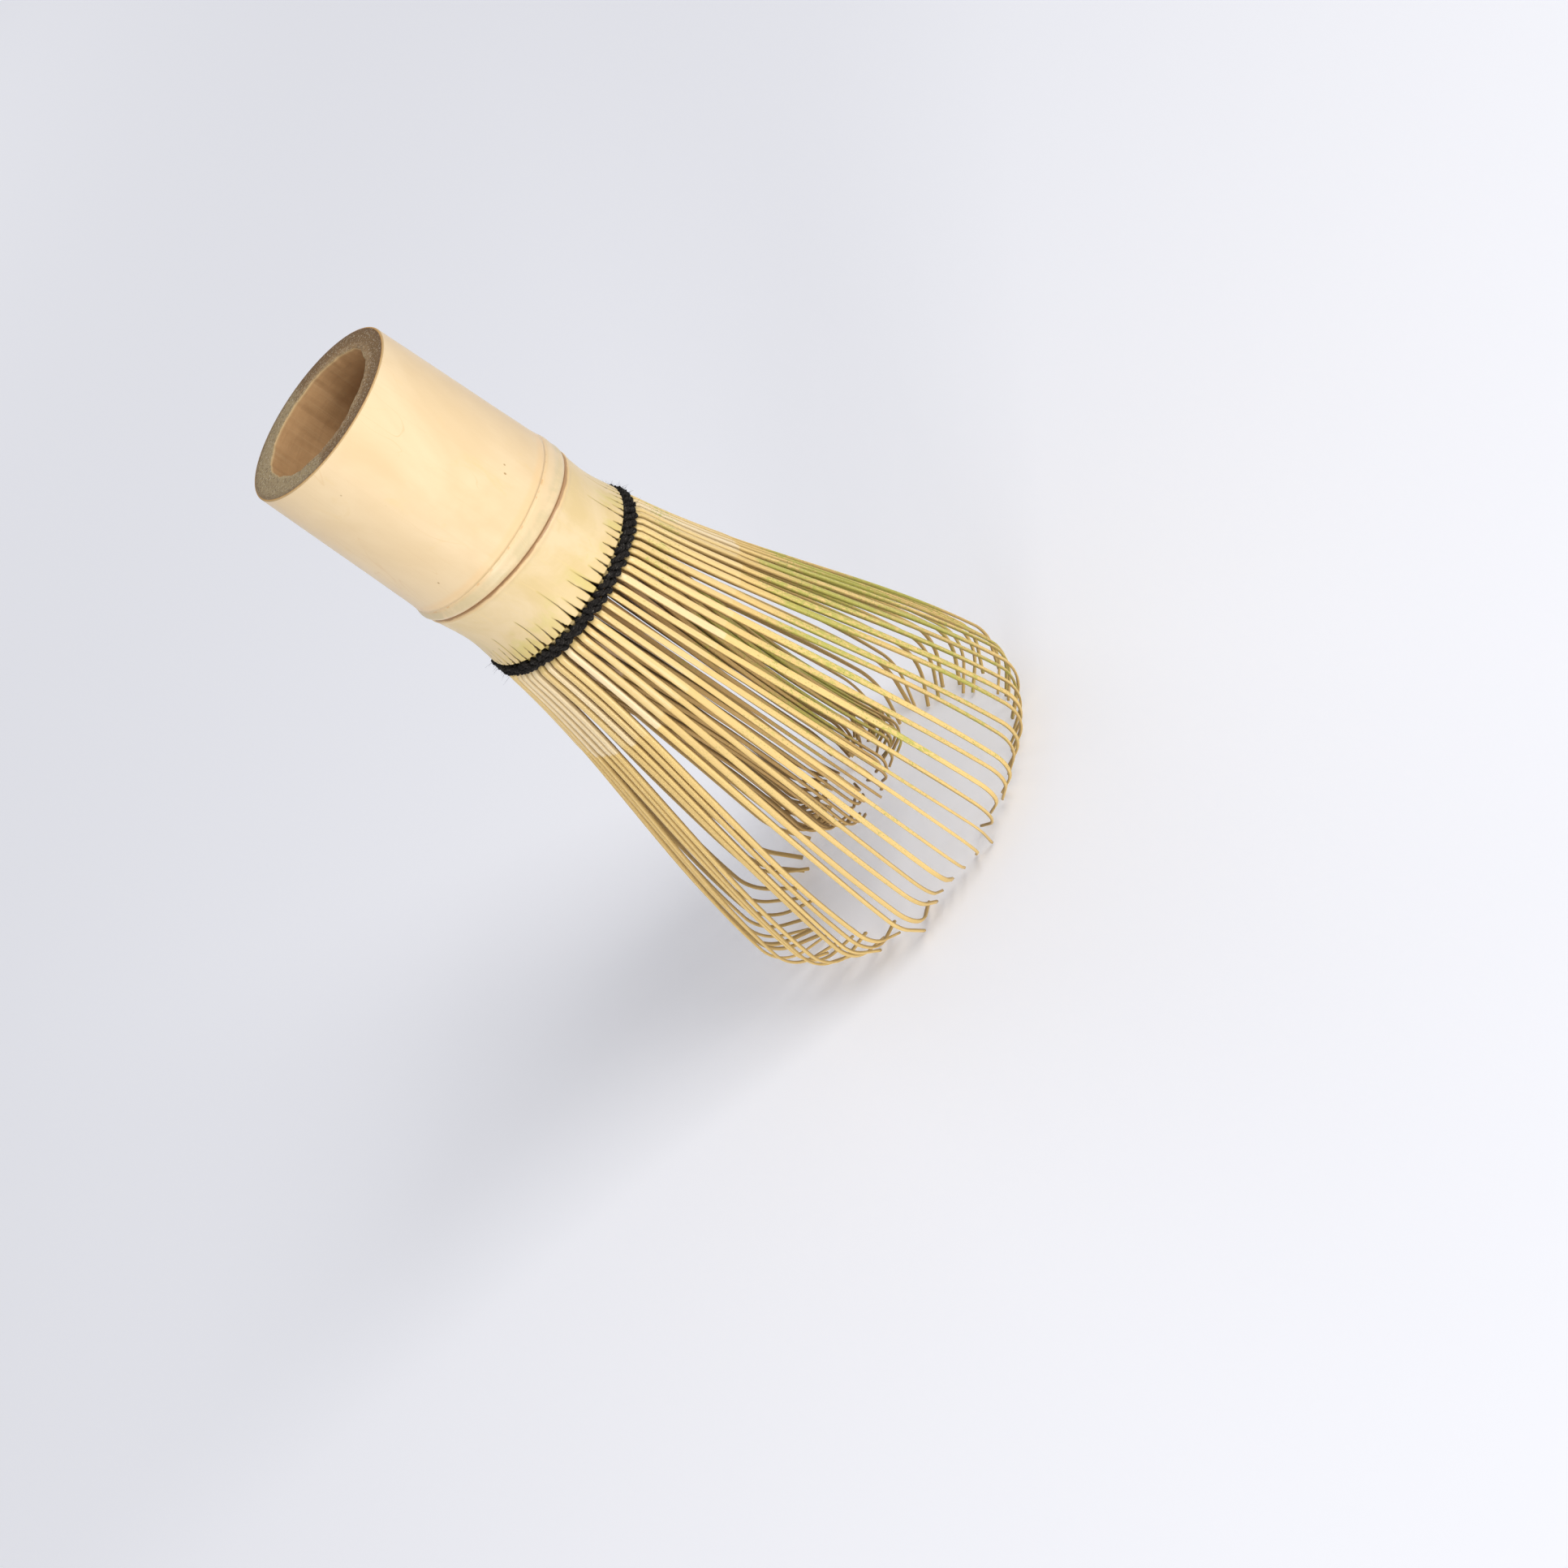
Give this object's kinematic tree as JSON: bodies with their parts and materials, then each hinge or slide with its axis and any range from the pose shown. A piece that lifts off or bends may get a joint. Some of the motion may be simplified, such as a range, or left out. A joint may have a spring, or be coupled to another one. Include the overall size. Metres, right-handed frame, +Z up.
{
  "type": "bamboo tea whisk",
  "caption": "Bamboo tea whisk: hollow cylindrical grip, node ridge and split collar bound with black thread, with flared, hooked outer tines round a gathered inner bundle.",
  "frame": {"origin": "on the culm's axis, in the plane of the outer tines' tips", "axes": "+Z up the culm's axis, from the tips to the rim of the grip; +X through the middle of the first segment of tines"},
  "size_m": [0.0576, 0.0576, 0.113],
  "materials": {
    "culm_skin": "gloss",
    "culm_pith": "matte",
    "collar_skin": "satin",
    "thread": "matte",
    "outer_tine": "satin",
    "inner_tine": "satin"
  },
  "bodies": {
    "root": {"grip": "culm_skin", "septum": "culm_pith", "node_ridge": "culm_skin", "collar": "collar_skin", "thread_upper_course": "thread", "thread_lower_course": "thread", "thread_inner_course": "thread"},
    "outer_tines_01": {"outer_tines_01": "outer_tine"},
    "outer_tines_02": {"outer_tines_02": "outer_tine"},
    "outer_tines_03": {"outer_tines_03": "outer_tine"},
    "outer_tines_04": {"outer_tines_04": "outer_tine"},
    "outer_tines_05": {"outer_tines_05": "outer_tine"},
    "outer_tines_06": {"outer_tines_06": "outer_tine"},
    "outer_tines_07": {"outer_tines_07": "outer_tine"},
    "outer_tines_08": {"outer_tines_08": "outer_tine"},
    "outer_tines_09": {"outer_tines_09": "outer_tine"},
    "outer_tines_10": {"outer_tines_10": "outer_tine"},
    "outer_tines_11": {"outer_tines_11": "outer_tine"},
    "outer_tines_12": {"outer_tines_12": "outer_tine"},
    "outer_tines_13": {"outer_tines_13": "outer_tine"},
    "outer_tines_14": {"outer_tines_14": "outer_tine"},
    "outer_tines_15": {"outer_tines_15": "outer_tine"},
    "outer_tines_16": {"outer_tines_16": "outer_tine"},
    "inner_tines_01": {"inner_tines_01": "inner_tine"},
    "inner_tines_02": {"inner_tines_02": "inner_tine"},
    "inner_tines_03": {"inner_tines_03": "inner_tine"},
    "inner_tines_04": {"inner_tines_04": "inner_tine"},
    "inner_tines_05": {"inner_tines_05": "inner_tine"},
    "inner_tines_06": {"inner_tines_06": "inner_tine"},
    "inner_tines_07": {"inner_tines_07": "inner_tine"},
    "inner_tines_08": {"inner_tines_08": "inner_tine"},
    "inner_tines_09": {"inner_tines_09": "inner_tine"},
    "inner_tines_10": {"inner_tines_10": "inner_tine"},
    "inner_tines_11": {"inner_tines_11": "inner_tine"},
    "inner_tines_12": {"inner_tines_12": "inner_tine"},
    "inner_tines_13": {"inner_tines_13": "inner_tine"},
    "inner_tines_14": {"inner_tines_14": "inner_tine"},
    "inner_tines_15": {"inner_tines_15": "inner_tine"},
    "inner_tines_16": {"inner_tines_16": "inner_tine"}
  },
  "joints": [
    {"name": "outer_tines_01_flex", "type": "hinge", "parent": "root", "child": "outer_tines_01", "pos_m": [0.0136, 0, 0.0694], "axis": [0, -1, 0], "range_deg": [-3.5, 6], "stiffness_Nm_per_rad": 0.03},
    {"name": "outer_tines_02_flex", "type": "hinge", "parent": "root", "child": "outer_tines_02", "pos_m": [0.01256, 0.0052, 0.0694], "axis": [0.3827, -0.9239, 0], "range_deg": [-3.5, 6], "stiffness_Nm_per_rad": 0.03},
    {"name": "outer_tines_03_flex", "type": "hinge", "parent": "root", "child": "outer_tines_03", "pos_m": [0.00962, 0.00962, 0.0694], "axis": [0.7071, -0.7071, 0], "range_deg": [-3.5, 6], "stiffness_Nm_per_rad": 0.03},
    {"name": "outer_tines_04_flex", "type": "hinge", "parent": "root", "child": "outer_tines_04", "pos_m": [0.0052, 0.01256, 0.0694], "axis": [0.9239, -0.3827, 0], "range_deg": [-3.5, 6], "stiffness_Nm_per_rad": 0.03},
    {"name": "outer_tines_05_flex", "type": "hinge", "parent": "root", "child": "outer_tines_05", "pos_m": [0, 0.0136, 0.0694], "axis": [1, 0, 0], "range_deg": [-3.5, 6], "stiffness_Nm_per_rad": 0.03},
    {"name": "outer_tines_06_flex", "type": "hinge", "parent": "root", "child": "outer_tines_06", "pos_m": [-0.0052, 0.01256, 0.0694], "axis": [0.9239, 0.3827, 0], "range_deg": [-3.5, 6], "stiffness_Nm_per_rad": 0.03},
    {"name": "outer_tines_07_flex", "type": "hinge", "parent": "root", "child": "outer_tines_07", "pos_m": [-0.00962, 0.00962, 0.0694], "axis": [0.7071, 0.7071, 0], "range_deg": [-3.5, 6], "stiffness_Nm_per_rad": 0.03},
    {"name": "outer_tines_08_flex", "type": "hinge", "parent": "root", "child": "outer_tines_08", "pos_m": [-0.01256, 0.0052, 0.0694], "axis": [0.3827, 0.9239, 0], "range_deg": [-3.5, 6], "stiffness_Nm_per_rad": 0.03},
    {"name": "outer_tines_09_flex", "type": "hinge", "parent": "root", "child": "outer_tines_09", "pos_m": [-0.0136, 0, 0.0694], "axis": [0, 1, 0], "range_deg": [-3.5, 6], "stiffness_Nm_per_rad": 0.03},
    {"name": "outer_tines_10_flex", "type": "hinge", "parent": "root", "child": "outer_tines_10", "pos_m": [-0.01256, -0.0052, 0.0694], "axis": [-0.3827, 0.9239, 0], "range_deg": [-3.5, 6], "stiffness_Nm_per_rad": 0.03},
    {"name": "outer_tines_11_flex", "type": "hinge", "parent": "root", "child": "outer_tines_11", "pos_m": [-0.00962, -0.00962, 0.0694], "axis": [-0.7071, 0.7071, 0], "range_deg": [-3.5, 6], "stiffness_Nm_per_rad": 0.03},
    {"name": "outer_tines_12_flex", "type": "hinge", "parent": "root", "child": "outer_tines_12", "pos_m": [-0.0052, -0.01256, 0.0694], "axis": [-0.9239, 0.3827, 0], "range_deg": [-3.5, 6], "stiffness_Nm_per_rad": 0.03},
    {"name": "outer_tines_13_flex", "type": "hinge", "parent": "root", "child": "outer_tines_13", "pos_m": [0, -0.0136, 0.0694], "axis": [-1, 0, 0], "range_deg": [-3.5, 6], "stiffness_Nm_per_rad": 0.03},
    {"name": "outer_tines_14_flex", "type": "hinge", "parent": "root", "child": "outer_tines_14", "pos_m": [0.0052, -0.01256, 0.0694], "axis": [-0.9239, -0.3827, 0], "range_deg": [-3.5, 6], "stiffness_Nm_per_rad": 0.03},
    {"name": "outer_tines_15_flex", "type": "hinge", "parent": "root", "child": "outer_tines_15", "pos_m": [0.00962, -0.00962, 0.0694], "axis": [-0.7071, -0.7071, 0], "range_deg": [-3.5, 6], "stiffness_Nm_per_rad": 0.03},
    {"name": "outer_tines_16_flex", "type": "hinge", "parent": "root", "child": "outer_tines_16", "pos_m": [0.01256, -0.0052, 0.0694], "axis": [-0.3827, -0.9239, 0], "range_deg": [-3.5, 6], "stiffness_Nm_per_rad": 0.03},
    {"name": "inner_tines_01_flex", "type": "hinge", "parent": "root", "child": "inner_tines_01", "pos_m": [0.0114, 0, 0.0692], "axis": [0, -1, 0], "range_deg": [-0.5, 5], "stiffness_Nm_per_rad": 0.012},
    {"name": "inner_tines_02_flex", "type": "hinge", "parent": "root", "child": "inner_tines_02", "pos_m": [0.01053, 0.00436, 0.0692], "axis": [0.3827, -0.9239, 0], "range_deg": [-0.5, 5], "stiffness_Nm_per_rad": 0.012},
    {"name": "inner_tines_03_flex", "type": "hinge", "parent": "root", "child": "inner_tines_03", "pos_m": [0.00806, 0.00806, 0.0692], "axis": [0.7071, -0.7071, 0], "range_deg": [-0.5, 5], "stiffness_Nm_per_rad": 0.012},
    {"name": "inner_tines_04_flex", "type": "hinge", "parent": "root", "child": "inner_tines_04", "pos_m": [0.00436, 0.01053, 0.0692], "axis": [0.9239, -0.3827, 0], "range_deg": [-0.5, 5], "stiffness_Nm_per_rad": 0.012},
    {"name": "inner_tines_05_flex", "type": "hinge", "parent": "root", "child": "inner_tines_05", "pos_m": [0, 0.0114, 0.0692], "axis": [1, 0, 0], "range_deg": [-0.5, 5], "stiffness_Nm_per_rad": 0.012},
    {"name": "inner_tines_06_flex", "type": "hinge", "parent": "root", "child": "inner_tines_06", "pos_m": [-0.00436, 0.01053, 0.0692], "axis": [0.9239, 0.3827, 0], "range_deg": [-0.5, 5], "stiffness_Nm_per_rad": 0.012},
    {"name": "inner_tines_07_flex", "type": "hinge", "parent": "root", "child": "inner_tines_07", "pos_m": [-0.00806, 0.00806, 0.0692], "axis": [0.7071, 0.7071, 0], "range_deg": [-0.5, 5], "stiffness_Nm_per_rad": 0.012},
    {"name": "inner_tines_08_flex", "type": "hinge", "parent": "root", "child": "inner_tines_08", "pos_m": [-0.01053, 0.00436, 0.0692], "axis": [0.3827, 0.9239, 0], "range_deg": [-0.5, 5], "stiffness_Nm_per_rad": 0.012},
    {"name": "inner_tines_09_flex", "type": "hinge", "parent": "root", "child": "inner_tines_09", "pos_m": [-0.0114, 0, 0.0692], "axis": [0, 1, 0], "range_deg": [-0.5, 5], "stiffness_Nm_per_rad": 0.012},
    {"name": "inner_tines_10_flex", "type": "hinge", "parent": "root", "child": "inner_tines_10", "pos_m": [-0.01053, -0.00436, 0.0692], "axis": [-0.3827, 0.9239, 0], "range_deg": [-0.5, 5], "stiffness_Nm_per_rad": 0.012},
    {"name": "inner_tines_11_flex", "type": "hinge", "parent": "root", "child": "inner_tines_11", "pos_m": [-0.00806, -0.00806, 0.0692], "axis": [-0.7071, 0.7071, 0], "range_deg": [-0.5, 5], "stiffness_Nm_per_rad": 0.012},
    {"name": "inner_tines_12_flex", "type": "hinge", "parent": "root", "child": "inner_tines_12", "pos_m": [-0.00436, -0.01053, 0.0692], "axis": [-0.9239, 0.3827, 0], "range_deg": [-0.5, 5], "stiffness_Nm_per_rad": 0.012},
    {"name": "inner_tines_13_flex", "type": "hinge", "parent": "root", "child": "inner_tines_13", "pos_m": [0, -0.0114, 0.0692], "axis": [-1, 0, 0], "range_deg": [-0.5, 5], "stiffness_Nm_per_rad": 0.012},
    {"name": "inner_tines_14_flex", "type": "hinge", "parent": "root", "child": "inner_tines_14", "pos_m": [0.00436, -0.01053, 0.0692], "axis": [-0.9239, -0.3827, 0], "range_deg": [-0.5, 5], "stiffness_Nm_per_rad": 0.012},
    {"name": "inner_tines_15_flex", "type": "hinge", "parent": "root", "child": "inner_tines_15", "pos_m": [0.00806, -0.00806, 0.0692], "axis": [-0.7071, -0.7071, 0], "range_deg": [-0.5, 5], "stiffness_Nm_per_rad": 0.012},
    {"name": "inner_tines_16_flex", "type": "hinge", "parent": "root", "child": "inner_tines_16", "pos_m": [0.01053, -0.00436, 0.0692], "axis": [-0.3827, -0.9239, 0], "range_deg": [-0.5, 5], "stiffness_Nm_per_rad": 0.012}
  ]
}
